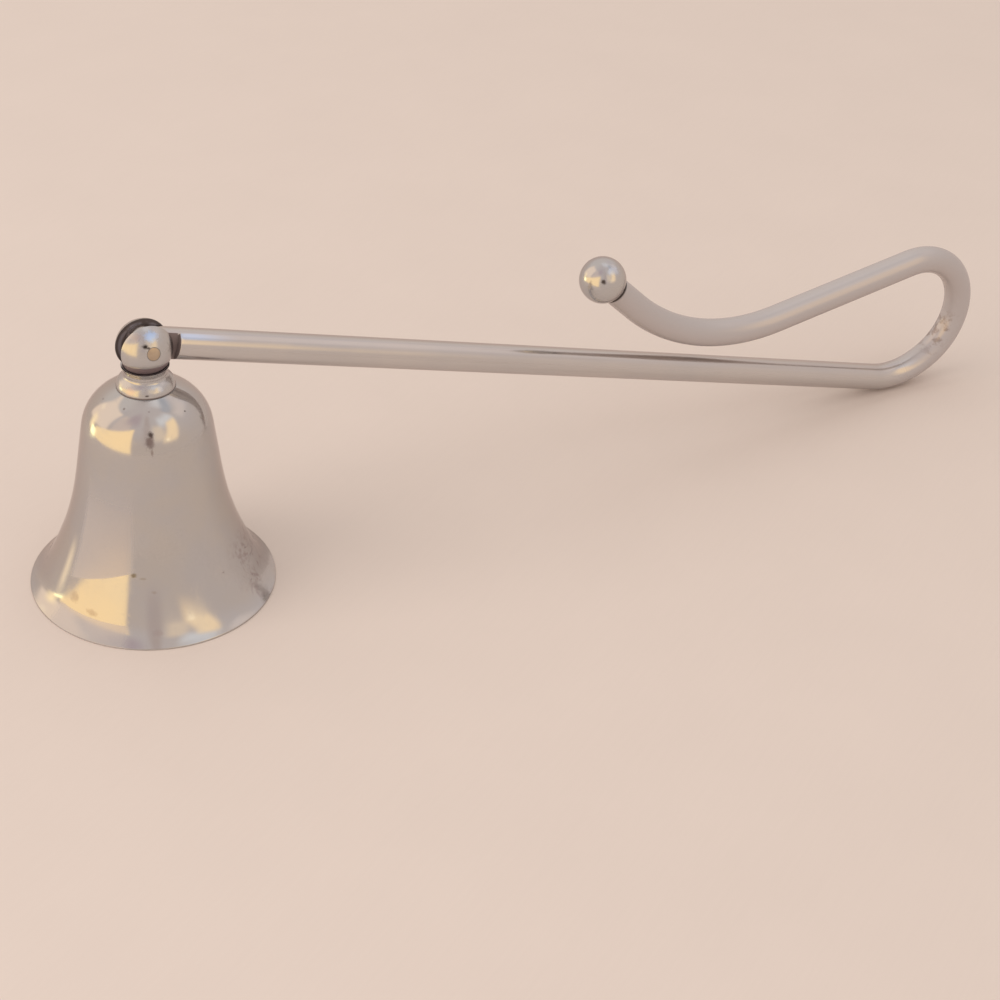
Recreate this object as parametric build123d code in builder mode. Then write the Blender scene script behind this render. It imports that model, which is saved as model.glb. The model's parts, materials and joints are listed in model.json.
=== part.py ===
from build123d import *
import os
from math import asin, atan, cos, degrees, hypot, isclose, radians, sin, sqrt, tan

# A candle snuffer with a hinged bell, in millimetres and degrees, with +Z up.
# The origin is the centre of the bell's mouth in the plane that its rim stands on.
# The handle runs out along +X from a pin that lies along Y.

# Bell: slopes are angles below level, met in turn on the way from the crown down to the rim.
wall = 0.9
crown_radius = 5.3
crown_slope = 28.0
crown_run = 2.1
shoulder_radius = 9.75
side_slope = 81.9
side_length = 10.65
sway_radius = 65.8
flare_slope = 62.3
flare_radius = 8.8
rim_slope = 32.0
rim_land = 0.3
rim_round = 0.12

# Collar: a rounded ring on the crown, a narrower neck, and a lip that flares round the hinge ball.
# Drops are measured down from the ball's seat, and the lip's from the floor of the slot.
collar_radius = 5.5
collar_height = 3.4
collar_round = 0.4
ring_top_radius = 4.3
ring_top_drop = 1.2
ring_bulge = 2.6
neck_radius = 4.1
neck_drop = 0.4
neck_hollow = 0.8
lip_width = 0.51
lip_drop = 0.23
lip_hollow = 2.5
lip_round = 0.12
cup_room = 0.15

# Hinge ball, its stem and the nut and washer that hold the stem inside the bell.
ball_radius = 5.25
ball_foot_radius = 2.45
pin_rise = 1.1
pin_radius = 1.25
stem_radius = 1.5
stem_spare = 1.2
stem_clearance = 0.1
stem_chamfer = 0.3
washer_radius = 3.5
washer_thickness = 0.5
nut_width = 5.5
nut_height = 2.4
nut_chamfer = 0.3

# Handle rod: a straight shank, a heel that lies on the table, a nose, a back run and a tail.
rod_radius = 3.0
shank_length = 182.7
heel_radius = 18.5
heel_turn = 51.9
nose_radius = 14.35
nose_turn = 153.9
back_length = 36.3
tail_radius = 44.0
tail_turn = 53.0
tip_length = 8.0
tip_round = 0.35

# Tongue at the hinge end of the rod, and the room that it has in the ball.
tongue_thickness = 2.8
tongue_shoulder = 6.0
side_clearance = 0.12
pin_clearance = 0.05
spare_droop = 3.0

# Ball at the free end of the handle, on a spigot turned on the rod.
end_ball_radius = 4.85
end_ball_foot_radius = 2.6
spigot_radius = 1.6
spigot_length = 4.0
spigot_room = 0.4


def wall_face(inset):
    """Draw the bell's outline, set in by a distance, and return its two ends."""
    corner_shift = inset * tan(radians(crown_slope) / 2)
    corner = (crown_radius - corner_shift, -inset)
    crown = PolarLine(corner, crown_run + corner_shift, -crown_slope)
    shoulder = JernArc(crown @ 1, crown % 1, shoulder_radius - inset, crown_slope - side_slope)
    side = PolarLine(shoulder @ 1, side_length, -side_slope)
    sway = JernArc(side @ 1, side % 1, sway_radius + inset, side_slope - flare_slope)
    flare = JernArc(sway @ 1, sway % 1, flare_radius + inset, flare_slope - rim_slope)
    return crown @ 0, flare @ 1


def section_at(height):
    """The upright XZ plane whose own origin is on the bell's axis at a height."""
    return Plane(origin=(0, 0, height), x_dir=(1, 0, 0), z_dir=(0, -1, 0))


def rings(piece, radius):
    """The round edges of a piece that have a given radius."""
    circles = piece.edges().filter_by(GeomType.CIRCLE)
    return circles.filter_by(lambda edge: isclose(edge.radius, radius, abs_tol=0.001))


# Heights follow from the outline: the crown is as high as the outline is deep.
with BuildLine() as outline:
    rim_edge = wall_face(0)[1]
mouth_radius = rim_edge.X
crown_height = rim_land - rim_edge.Y
seat_height = crown_height + collar_height
ball_height = seat_height + sqrt(ball_radius**2 - ball_foot_radius**2)
pin_height = ball_height + pin_rise

# The handle droops until the underside of its heel meets the table.
heel_drop = pin_height - rod_radius
droop = degrees(
    atan(heel_radius / shank_length)
    + asin((heel_drop - heel_radius) / hypot(shank_length, heel_radius))
)
shank_dir = (cos(radians(droop)), 0, -sin(radians(droop)))
handle_plane = Plane(origin=(0, 0, pin_height), x_dir=shank_dir, z_dir=(0, -1, 0))

# The slot's floor lets the tongue droop a little further before it strikes.
lowest = radians(droop + spare_droop)
reach = (rod_radius - pin_rise * cos(lowest)) / ball_radius
slot_floor = ball_height - ball_radius * sin(lowest + asin(reach))
slot_width = tongue_thickness + 2 * side_clearance
stem_hole_radius = stem_radius + stem_clearance

# The cup inside the collar's lip is a larger sphere about the ball's centre.
# The lip ends below the slot's floor, so the drooping tongue passes over it.
cup_radius = ball_radius + cup_room
lip_height = slot_floor - lip_drop
cup_mouth_radius = sqrt(cup_radius**2 - (ball_height - lip_height) ** 2)
cup_floor_radius = sqrt(cup_radius**2 - (ball_height - seat_height) ** 2)
lip_radius = cup_mouth_radius + lip_width

# Bell: one thin wall turned about Z, cut level at the rim.
with BuildPart() as bell_shell:
    with BuildSketch(section_at(crown_height)):
        with BuildLine():
            outer_crown, outer_rim = wall_face(0)
            inner_crown, inner_rim = wall_face(wall)
            Polyline(
                outer_crown,
                (stem_hole_radius, 0),
                (stem_hole_radius, -wall),
                inner_crown,
            )
            Polyline(outer_rim, (outer_rim.X, -crown_height - wall), inner_rim)
        make_face()
    revolve(axis=Axis.Z)
    split(bisect_by=Plane.XY, keep=Keep.TOP)
    fillet(rings(bell_shell, mouth_radius), radius=rim_round)
bell_shell.part.label = "bell_shell"

# Collar: ring, neck and lip outside, and inside them the cup with the ball's flat seat.
with BuildPart() as collar:
    with BuildSketch(section_at(0)):
        with BuildLine():
            foot = (collar_radius, crown_height)
            ring_top = (ring_top_radius, seat_height - ring_top_drop)
            neck = (neck_radius, seat_height - neck_drop)
            lip = (lip_radius, lip_height)
            cup_mouth = (cup_mouth_radius, lip_height)
            cup_floor = (cup_floor_radius, seat_height)
            RadiusArc(ring_top, foot, ring_bulge)
            RadiusArc(ring_top, neck, neck_hollow)
            RadiusArc(neck, lip, lip_hollow)
            Line(lip, cup_mouth)
            RadiusArc(cup_mouth, cup_floor, cup_radius)
            Polyline(
                cup_floor,
                (stem_hole_radius, seat_height),
                (stem_hole_radius, crown_height),
                foot,
            )
        make_face()
    revolve(axis=Axis.Z)
    fillet(rings(collar, collar_radius), radius=collar_round)
    fillet(rings(collar, lip_radius), radius=lip_round)
collar.part.label = "collar"

# Hinge ball: slotted from the top for the tongue, with a stem down through the crown.
stack_height = wall + washer_thickness + nut_height + stem_spare
with BuildPart() as hinge_ball:
    with Locations((0, 0, ball_height)):
        Sphere(ball_radius)
    split(bisect_by=Plane.XY.offset(seat_height), keep=Keep.TOP)
    with BuildSketch(Plane.XY.offset(slot_floor)):
        Rectangle(2 * ball_radius, slot_width)
    extrude(amount=2 * ball_radius, mode=Mode.SUBTRACT)
    with BuildSketch(section_at(pin_height)):
        Circle(pin_radius)
    extrude(amount=ball_radius, both=True, mode=Mode.SUBTRACT)
    with BuildSketch(Plane.XY.offset(crown_height - stack_height)):
        Circle(stem_radius)
    extrude(amount=seat_height - crown_height + stack_height)
    chamfer(hinge_ball.edges().sort_by(Axis.Z)[0], length=stem_chamfer)
hinge_ball.part.label = "hinge_ball"

# Pivot pin: pressed through both cheeks and dressed flush with the ball.
with BuildPart() as pivot_pin:
    with BuildSketch(section_at(pin_height)):
        Circle(pin_radius)
    extrude(amount=ball_radius, both=True)
    with Locations((0, 0, ball_height)):
        Sphere(ball_radius, mode=Mode.INTERSECT)
pivot_pin.part.label = "pivot_pin"

# Washer and nut under the crown.
washer_top = crown_height - wall
with BuildPart() as crown_washer:
    with BuildSketch(Plane.XY.offset(washer_top - washer_thickness)):
        Circle(washer_radius)
        Circle(stem_hole_radius, mode=Mode.SUBTRACT)
    extrude(amount=washer_thickness)
crown_washer.part.label = "crown_washer"

nut_top = washer_top - washer_thickness
with BuildPart() as crown_nut:
    with BuildSketch(Plane.XY.offset(nut_top - nut_height)):
        RegularPolygon(nut_width / 2, 6, major_radius=False)
    extrude(amount=nut_height)
    chamfer(crown_nut.edges().group_by(Axis.Z)[0], length=nut_chamfer)
    with BuildSketch(Plane.XY.offset(nut_top)):
        Circle(stem_radius)
    extrude(amount=-nut_height, mode=Mode.SUBTRACT)
crown_nut.part.label = "crown_nut"

# Handle rod: swept along its centreline, then flattened and rounded into a tongue at the pin.
with BuildPart() as handle_rod:
    with BuildLine(handle_plane) as centreline:
        shank = PolarLine((-rod_radius, 0), rod_radius + shank_length, 0)
        heel = JernArc(shank @ 1, shank % 1, heel_radius, heel_turn)
        nose = JernArc(heel @ 1, heel % 1, nose_radius, nose_turn)
        back = PolarLine(nose @ 1, back_length, direction=nose % 1)
        tail = JernArc(back @ 1, back % 1, tail_radius, -tail_turn)
        tip = PolarLine(tail @ 1, tip_length, direction=tail % 1)
    with BuildSketch(Plane(origin=shank @ 0, z_dir=shank % 0)):
        Circle(rod_radius)
    sweep(path=centreline.wires()[0])
    tip_plane = Plane(origin=tip @ 1, z_dir=tip % 1)
    fillet(handle_rod.faces().sort_by_distance(tip @ 1)[0].edges(), radius=tip_round)
    for side in (1, -1):
        with BuildSketch(handle_plane.offset(side * tongue_thickness / 2)):
            Rectangle(2 * tongue_shoulder, 3 * rod_radius)
        extrude(amount=side * rod_radius, mode=Mode.SUBTRACT)
    with BuildSketch(handle_plane):
        Rectangle(2 * rod_radius, 3 * rod_radius, align=(Align.MAX, Align.CENTER))
        Circle(rod_radius, mode=Mode.SUBTRACT)
    extrude(amount=rod_radius, both=True, mode=Mode.SUBTRACT)
    with BuildSketch(handle_plane):
        Circle(pin_radius + pin_clearance)
    extrude(amount=rod_radius, both=True, mode=Mode.SUBTRACT)
    with BuildSketch(tip_plane):
        Circle(spigot_radius)
    extrude(amount=spigot_length)
handle_rod.part.label = "handle_rod"

# End ball: flat where it meets the rod, with a blind hole for the spigot.
end_ball_reach = sqrt(end_ball_radius**2 - end_ball_foot_radius**2)
with BuildPart() as end_ball:
    with Locations(tip_plane.offset(end_ball_reach)):
        Sphere(end_ball_radius)
    split(bisect_by=tip_plane, keep=Keep.TOP)
    with BuildSketch(tip_plane):
        Circle(spigot_radius)
    extrude(amount=spigot_length + spigot_room, mode=Mode.SUBTRACT)
end_ball.part.label = "end_ball"

os.makedirs("parts", exist_ok=True)
for piece in (
    bell_shell,
    collar,
    hinge_ball,
    pivot_pin,
    crown_washer,
    crown_nut,
    handle_rod,
    end_ball,
):
    export_step(piece.part, f"parts/{piece.part.label}.step")

print("mouth radius", mouth_radius, "crown height", crown_height)
print("ball height", ball_height, "pin height", pin_height, "slot floor", slot_floor)
print("lip height", lip_height, "lip radius", lip_radius)
print("droop", droop, "end ball centre", tip_plane.offset(end_ball_reach).origin)
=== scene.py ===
import json
import math
import bmesh
import bpy
import numpy as np
from mathutils import Matrix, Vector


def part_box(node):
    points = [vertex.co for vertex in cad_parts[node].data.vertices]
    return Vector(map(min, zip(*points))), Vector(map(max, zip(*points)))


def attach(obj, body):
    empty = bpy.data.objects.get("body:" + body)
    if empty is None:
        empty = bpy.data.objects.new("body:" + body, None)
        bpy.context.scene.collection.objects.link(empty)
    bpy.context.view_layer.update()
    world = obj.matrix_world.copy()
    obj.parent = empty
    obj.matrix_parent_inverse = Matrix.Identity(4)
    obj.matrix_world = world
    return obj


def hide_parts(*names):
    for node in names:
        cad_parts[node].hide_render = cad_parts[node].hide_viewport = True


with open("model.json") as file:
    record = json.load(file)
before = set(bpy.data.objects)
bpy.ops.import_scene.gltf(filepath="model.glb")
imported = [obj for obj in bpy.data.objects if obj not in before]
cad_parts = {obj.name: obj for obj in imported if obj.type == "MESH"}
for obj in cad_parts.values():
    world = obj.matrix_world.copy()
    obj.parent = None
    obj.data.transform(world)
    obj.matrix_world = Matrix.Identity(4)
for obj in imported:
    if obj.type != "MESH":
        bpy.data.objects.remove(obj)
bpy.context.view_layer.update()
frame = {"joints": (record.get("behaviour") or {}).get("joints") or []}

mm = 0.001  # shapes are worked out in millimetres and scaled once, when their mesh is made
degree = math.pi / 180
print("stage: frame loaded")


# Meshes

# Points whose three coordinates are spread over one grid.
def gridOf(x, y, z):
    return np.stack(np.broadcast_arrays(x, y, z), -1)


weldReach = 0.0002  # millimetres between points that count as one


# Joins grids of points into one mesh. A grid is rows by columns of points in millimetres, each four
# neighbours make one face, and a grid that wraps joins its last row or column to its first. Edges that two
# grids share are welded, a row that shrinks to a point becomes a pole, and the faces are turned outwards.
def meshFromGrids(name, grids, attributes=()):
    corners = []
    start = 0
    for points, wrapRows, wrapColumns in grids:
        rows, columns = points.shape[:2]
        down = np.arange(rows if wrapRows else rows - 1)[:, None]
        across = np.arange(columns if wrapColumns else columns - 1)[None, :]
        nextDown = (down + 1) % rows
        nextAcross = (across + 1) % columns
        ring = [down * columns + across, down * columns + nextAcross]
        ring += [nextDown * columns + nextAcross, nextDown * columns + across]
        corners.append(start + np.stack(np.broadcast_arrays(*ring), -1).reshape(-1, 4))
        start += rows * columns
    corners = np.concatenate(corners)
    places = np.concatenate([points.reshape(-1, 3) for points, _, _ in grids]) * mm
    mesh = bpy.data.meshes.new(name)
    mesh.vertices.add(len(places))
    mesh.vertices.foreach_set("co", places.ravel())
    mesh.loops.add(corners.size)
    mesh.loops.foreach_set("vertex_index", corners.ravel())
    mesh.polygons.add(len(corners))
    mesh.polygons.foreach_set("loop_start", np.arange(0, corners.size, 4))
    mesh.update(calc_edges=True)
    for attributeName, values in attributes:
        layer = mesh.attributes.new(attributeName, "FLOAT_VECTOR", "POINT")
        layer.data.foreach_set("vector", np.concatenate([v.reshape(-1) for v in values]))
    work = bmesh.new()
    work.from_mesh(mesh)
    bmesh.ops.remove_doubles(work, verts=work.verts, dist=weldReach * mm)
    bmesh.ops.recalc_face_normals(work, faces=work.faces)
    work.to_mesh(mesh)
    work.free()
    return mesh


# Puts grids in the scene as a smooth piece with crisp edges, on its body and in place of its node.
def addPiece(name, grids, material, body, replaced, attributes=(), crease=40.0):
    mesh = meshFromGrids(name, grids, attributes)
    piece = bpy.data.objects.new(name, mesh)
    bpy.context.scene.collection.objects.link(piece)
    mesh.polygons.foreach_set("use_smooth", np.ones(len(mesh.polygons), bool))
    mesh.set_sharp_from_angle(angle=math.radians(crease))
    mesh.materials.append(material)
    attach(piece, body)
    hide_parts(replaced)
    print("stage:", name, len(mesh.polygons), "faces")
    return piece


# Profiles and paths

# Evenly spaced angles once round, as one row.
def roundAngles(count):
    return np.linspace(0, 2 * np.pi, count, endpoint=False)[None, :]


# Walks straight runs and tangent arcs from a start and a heading in degrees. A step is (length, turn): with
# no turn it is a straight run, and otherwise an arc of that length whose heading turns steadily.
# Gives the points, and their headings in radians, at the given distances along the path.
def walkPath(start, heading, steps, distances):
    points = np.zeros((len(distances), 2))
    headings = np.zeros(len(distances))
    place = np.array(start, float)
    angle = math.radians(heading)
    gone = 0.0
    for number, (length, turn) in enumerate(steps):
        last = number == len(steps) - 1
        here = (distances >= gone) & ((distances < gone + length) | last)
        along = distances[here] - gone
        rate = math.radians(turn) / length
        local = angle + rate * along
        if turn:
            points[here, 0] = place[0] + (np.sin(local) - math.sin(angle)) / rate
            points[here, 1] = place[1] - (np.cos(local) - math.cos(angle)) / rate
            end = angle + math.radians(turn)
            step = [math.sin(end) - math.sin(angle), math.cos(angle) - math.cos(end)]
            place = place + np.array(step) / rate
            angle = end
        else:
            points[here] = place + along[:, None] * [math.cos(angle), math.sin(angle)]
            place = place + length * np.array([math.cos(angle), math.sin(angle)])
        headings[here] = local
        gone += length
    return points, headings


# The sum of the steps' lengths.
def pathLength(steps):
    return sum(length for length, _ in steps)


# An arc's length is its radius times its turn.
def arcStep(radius, turn):
    return radius * math.radians(abs(turn)), turn


# Softens a closed outline: it is cut into even short steps, each point becomes the weighted mean of its
# neighbours within the blur length, which rounds the corners, and then points are kept so that neither the
# distance nor the turn from one to the next is large.
def softOutline(points, blur, maxStep, maxTurn, fineStep=0.02):
    ring = np.vstack([points, points[:1]])
    gone = np.r_[0, np.cumsum(np.hypot(*np.diff(ring, axis=0).T))]
    count = int(gone[-1] / fineStep)
    at = np.linspace(0, gone[-1], count, endpoint=False)
    fine = np.stack([np.interp(at, gone, ring[:, k]) for k in (0, 1)], 1)
    reach = max(1, int(blur / fineStep / 2))
    weights = np.hanning(2 * reach + 3)[1:-1]
    weights /= weights.sum()
    padded = np.vstack([fine[-reach:], fine, fine[:reach]])
    soft = np.stack([np.convolve(padded[:, k], weights, "valid") for k in (0, 1)], 1)
    edge = np.roll(soft, -1, 0) - soft
    heading = np.arctan2(edge[:, 1], edge[:, 0])
    turn = np.abs((np.roll(heading, -1) - heading + np.pi) % (2 * np.pi) - np.pi)
    effort = np.hypot(*edge.T) / maxStep + turn / math.radians(maxTurn)
    total = np.r_[0, np.cumsum(effort)]
    kept = np.linspace(0, total[-1], int(total[-1]) + 1, endpoint=False)
    closed = np.vstack([soft, soft[:1]])
    return np.stack([np.interp(kept, total, closed[:, k]) for k in (0, 1)], 1)


# The same for an outline that starts and ends on the axis: it is softened together with its mirror image, so
# that its two poles stay smooth, and the half at or beyond the axis is kept.
def softPoleOutline(points, blur, maxStep, maxTurn):
    mirrored = points[::-1] * [-1, 1]
    whole = softOutline(np.vstack([points, mirrored[1:-1]]), blur, maxStep, maxTurn)
    half = whole[whole[:, 0] > 0.3 * maxStep]
    return np.vstack([[0, half[0, 1]], half, [0, half[-1, 1]]])


# Points on a surface of revolution: the outline's radius is carried round the axis, and its height along it.
def turned(outline, segments, origin=(0, 0, 0), axis=(0, 0, 1), swell=None):
    axis = np.array(axis, float)
    side = np.cross([0, 1, 0], axis) if abs(axis[1]) < 0.9 else np.array([1.0, 0, 0])
    side = side / np.linalg.norm(side)
    other = np.cross(axis, side)
    angle = roundAngles(segments)
    radius = outline[:, 0][:, None] * np.ones_like(angle)
    height = outline[:, 1][:, None] * np.ones_like(angle)
    if swell is not None:
        radius = radius + swell(angle, height, radius)
    ringPlace = radius[..., None] * (np.cos(angle)[..., None] * side + np.sin(angle)[..., None] * other)
    return np.array(origin) + ringPlace + height[..., None] * axis


# Node tools

# An empty node tree for a material or a world.
def newTree(owner):
    owner.use_nodes = True
    owner.node_tree.nodes.clear()
    return owner.node_tree


# Adds a node to the tree that its linked values come from, or to the one that is given, sets its properties
# and fills its sockets.
def addNode(kind, settings=None, tree=None, **sockets):
    if tree is None:
        tree = next(value.id_data for value in sockets.values() if isinstance(value, bpy.types.NodeSocket))
    node = tree.nodes.new(kind)
    for key, value in (settings or {}).items():
        setattr(node, key, value)
    for key, value in sockets.items():
        setSocket(node, key.replace("_", " "), value)
    return node


# Links a socket to an output or gives it a plain value. A key such as i2 counts the sockets from 0.
def setSocket(node, key, value):
    socket = node.inputs[int(key[1:])] if key[0] == "i" and key[1:].isdigit() else node.inputs[key]
    if isinstance(value, bpy.types.NodeSocket):
        node.id_data.links.new(value, socket)
    elif socket.type == "RGBA":
        socket.default_value = (*value, 1)
    else:
        socket.default_value = value


# One step of arithmetic. Operations on one or two values leave the others out.
def calc(operation, first, second=0.0, third=0.0, clamp=False):
    settings = {"operation": operation, "use_clamp": clamp}
    return addNode("ShaderNodeMath", settings, i0=first, i1=second, i2=third).outputs[0]


# The product of any number of values.
def product(*values):
    result = values[0]
    for value in values[1:]:
        result = calc("MULTIPLY", result, value)
    return result


# A value brought to 0 at one limit and to 1 at the other by a smooth step. Plain limits can be in a unit.
def smoothBand(value, low, high, unit=None):
    if unit:
        low, high = low * unit, high * unit
    settings = {"interpolation_type": "SMOOTHSTEP"}
    return addNode("ShaderNodeMapRange", settings, Value=value, From_Min=low, From_Max=high).outputs[0]


# 1 between two limits and 0 outside them, with soft ends.
def softBetween(value, low, high, soft, unit):
    rising = smoothBand(value, low - soft, low + soft, unit)
    return product(rising, smoothBand(value, high + soft, high - soft, unit))


# From the first colour to the second as the factor goes from 0 to 1.
def mixColors(factor, first, second):
    return addNode("ShaderNodeMix", {"data_type": "RGBA"}, i0=factor, i6=first, i7=second).outputs[2]


# The same for two plain values.
def mixValues(factor, first, second):
    return addNode("ShaderNodeMix", i0=factor, i2=first, i3=second).outputs[0]


# The x, y and z of a place.
def splitPlace(place):
    return addNode("ShaderNodeSeparateXYZ", i0=place).outputs


# A place stretched, turned and shifted.
def mapped(place, **how):
    return addNode("ShaderNodeMapping", Vector=place, **how).outputs[0]


# A smooth noise from 0 to 1, about 0.5.
def noise(place, scale, detail, roughness=0.5, distortion=0.0):
    amounts = dict(Scale=scale, Detail=detail, Roughness=roughness, Distortion=distortion)
    return addNode("ShaderNodeTexNoise", Vector=place, **amounts).outputs[0]


# How far a place is, in metres, from a point that is given in millimetres.
def distanceFrom(place, point):
    middle = [float(value) * mm for value in point]
    return addNode("ShaderNodeVectorMath", {"operation": "DISTANCE"}, i0=place, i1=middle).outputs["Value"]


# An empty node group. An input's kind follows from its usual value: a number, a colour, or None for a place.
def newGroup(name, inputs, outputs):
    group = bpy.data.node_groups.new(name, "ShaderNodeTree")
    for key, usual in inputs.items():
        kind = "Vector" if usual is None else "Color" if isinstance(usual, tuple) else "Float"
        socket = group.interface.new_socket(name=key, in_out="INPUT", socket_type="NodeSocket" + kind)
        if usual is not None:
            socket.default_value = (*usual, 1) if kind == "Color" else usual
    for key in outputs:
        kind = "NodeSocketColor" if key == "Color" else "NodeSocketFloat"
        group.interface.new_socket(name=key, in_out="OUTPUT", socket_type=kind)
    return group.nodes.new("NodeGroupInput").outputs, group.nodes.new("NodeGroupOutput")


# Fills a group's outputs and gives the group.
def finishedGroup(result, **values):
    for key, value in values.items():
        setSocket(result, key, value)
    return result.id_data


# Adds a group as one node and gives its outputs.
def useGroup(group, **sockets):
    return addNode("ShaderNodeGroup", {"node_tree": group}, **sockets).outputs


# Handling marks on polished plate: two layers of fine hairlines that run in wandering directions, and cloudy
# patches where the polish is hazier.
def makeHandlingGroup():
    inputs = {"Vector": None, "Hairline Scale": 900.0, "Haze Scale": 120.0}
    given, result = newGroup("handlingMarks", inputs, ["Hairlines", "Haze"])
    lines = []
    for turn, distortion in (((0.4, 0.9, 0.3), 0.35), ((1.3, -0.5, 2.1), 0.55)):
        spun = mapped(given["Vector"], Rotation=turn, Scale=(1, 0.07, 0.6))
        lines.append(smoothBand(noise(spun, given["Hairline Scale"], 2.0, 0.6, distortion), 0.6, 0.72))
    haze = smoothBand(noise(given["Vector"], given["Haze Scale"], 5.0, 0.62, 0.4), 0.42, 0.68)
    return finishedGroup(result, Hairlines=calc("MAXIMUM", *lines), Haze=haze)


# Tarnish: ragged patches with darker rims, where a thin brown film dulls the plate.
def makeTarnishGroup():
    inputs = {"Vector": None, "Scale": 220.0, "Where": 1.0}
    inputs |= {"Clean Color": (0.56, 0.55, 0.53), "Film Color": (0.36, 0.30, 0.28)}
    given, result = newGroup("tarnishFilm", inputs, ["Color", "Film"])
    patches = smoothBand(noise(given["Vector"], given["Scale"], 7.0, 0.66, 1.1), 0.5, 0.68)
    film = calc("MULTIPLY", patches, given["Where"], clamp=True)
    color = mixColors(film, given["Clean Color"], given["Film Color"])
    return finishedGroup(result, Color=color, Film=film)


# Fine dark scratches: thin lines where a slow noise crosses its middle, broken up by a coarser noise.
def makeScratchGroup():
    inputs = {"Vector": None, "Scale": 200.0, "Width": 0.012, "Where": 1.0}
    given, result = newGroup("wanderingScratches", inputs, ["Mask"])
    slow = noise(given["Vector"], given["Scale"], 2.0, 0.55, 1.6)
    line = smoothBand(calc("ABSOLUTE", calc("SUBTRACT", slow, 0.5)), given["Width"], 0.0)
    coarse = noise(given["Vector"], calc("MULTIPLY", given["Scale"], 0.8), 1.0, distortion=0.5)
    return finishedGroup(result, Mask=product(line, smoothBand(coarse, 0.5, 0.6), given["Where"]))


# Small pits: round spots about scattered points, of which only a share keep their spot.
def makePitGroup():
    inputs = {"Vector": None, "Scale": 200.0, "Size": 0.06, "Share": 0.5}
    given, result = newGroup("smallPits", inputs, ["Mask"])
    cells = addNode("ShaderNodeTexVoronoi", Vector=given["Vector"], Scale=given["Scale"]).outputs
    spot = smoothBand(cells["Distance"], given["Size"], calc("MULTIPLY", given["Size"], 0.6))
    chance = addNode("ShaderNodeSeparateColor", i0=cells["Color"]).outputs[0]
    return finishedGroup(result, Mask=product(spot, calc("LESS_THAN", chance, given["Share"])))


handlingMarks = makeHandlingGroup()
tarnishFilm = makeTarnishGroup()
wanderingScratches = makeScratchGroup()
smallPits = makePitGroup()


# Polished plate for one kind of piece. The look gives its colour and how worn it is. Each layer is a function
# that gives a mask and a finish: its colour, its roughness, and perhaps how metallic it is and its strength.
def plateMaterial(name, look, layers=(), coordinates=None):
    material = bpy.data.materials.new(name)
    tree = newTree(material)
    if coordinates:
        place = addNode("ShaderNodeAttribute", {"attribute_name": coordinates}, tree).outputs["Vector"]
    else:
        place = addNode("ShaderNodeTexCoord", tree=tree).outputs["Object"]
    scales = dict(Hairline_Scale=look["hairlineScale"], Haze_Scale=look["hazeScale"])
    hairlines, haze = useGroup(handlingMarks, Vector=place, **scales)
    tinted = smoothBand(noise(place, look["tintScale"], 3.0, 0.6), 0.35, 0.65)
    clean = mixColors(tinted, look["plate"], look["tint"])
    amounts = dict(Scale=look["filmScale"], Where=look["film"], Film_Color=look["filmColor"])
    color, film = useGroup(tarnishFilm, Vector=place, Clean_Color=clean, **amounts)
    rough = calc("MULTIPLY_ADD", haze, look["hazeRoughness"], look["roughness"])
    rough = calc("MULTIPLY_ADD", hairlines, look["hairlineRoughness"], rough)
    rough = calc("MULTIPLY_ADD", film, look["filmRoughness"], rough, clamp=True)
    metal = 1.0
    for layer in layers:
        mask, finish = layer(place)
        mask = product(mask, finish.get("strength", 1.0))
        color = mixColors(mask, color, finish["color"])
        rough = mixValues(mask, rough, finish["roughness"])
        if "metal" in finish:
            metal = mixValues(mask, metal, finish["metal"])
    peel = noise(place, look["peelScale"], 2.0, 0.4)
    height = calc("MULTIPLY_ADD", hairlines, look["hairlineDepth"], peel)
    bump = addNode("ShaderNodeBump", Strength=1.0, Distance=look["peelDepth"] * mm, Height=height)
    shader = addNode("ShaderNodeBsdfPrincipled", Base_Color=color, Metallic=metal, Roughness=rough)
    setSocket(shader, "Specular Tint", look["edgeTint"])
    setSocket(shader, "Normal", bump.outputs[0])
    addNode("ShaderNodeOutputMaterial", Surface=shader.outputs[0])
    return material


plateLook = dict(
    plate=(0.575, 0.57, 0.56), tint=(0.545, 0.55, 0.565), tintScale=70.0, roughness=0.06,
    hazeScale=130.0, hazeRoughness=0.07, hairlineScale=1400.0, hairlineRoughness=0.08,
    hairlineDepth=0.06, peelScale=260.0, peelDepth=0.003, film=0.0, filmScale=240.0,
    filmColor=(0.33, 0.27, 0.25), filmRoughness=0.2,
    edgeTint=(0.82, 0.77, 0.76),  # what is left of the reflection at the edges, seen almost along the surface
)
grimeLook = dict(color=(0.085, 0.065, 0.055), roughness=0.7, metal=0.0)  # dark dirt in the joints
pinGrime = dict(grimeLook, strength=0.6)
patinaLook = dict(color=(0.235, 0.18, 0.17), roughness=0.5, metal=0.25)  # skin where no plate was laid
pitLook = dict(color=(0.13, 0.10, 0.085), roughness=0.5, metal=0.4, scale=230.0, strength=0.5)
# the finish of the ragged spots, both stains and painted highlights, reflections and shade
stainAndPaintedLightLook = dict(roughness=0.42, raggedScale=1100.0, ragged=1.3, core=0.25)


# A layer that rises from 0 to 1 as a measure of the place goes from one limit to another, in millimetres.
def bandLayer(measure, low, high, finish):
    return lambda place: (smoothBand(measure(place), low, high, mm), finish)


# Pits of a size, of which a share show.
def pitLayer(size, share):
    def layer(place):
        pits = useGroup(smallPits, Vector=place, Scale=pitLook["scale"], Size=size, Share=share)
        return pits[0], pitLook

    return layer
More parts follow.
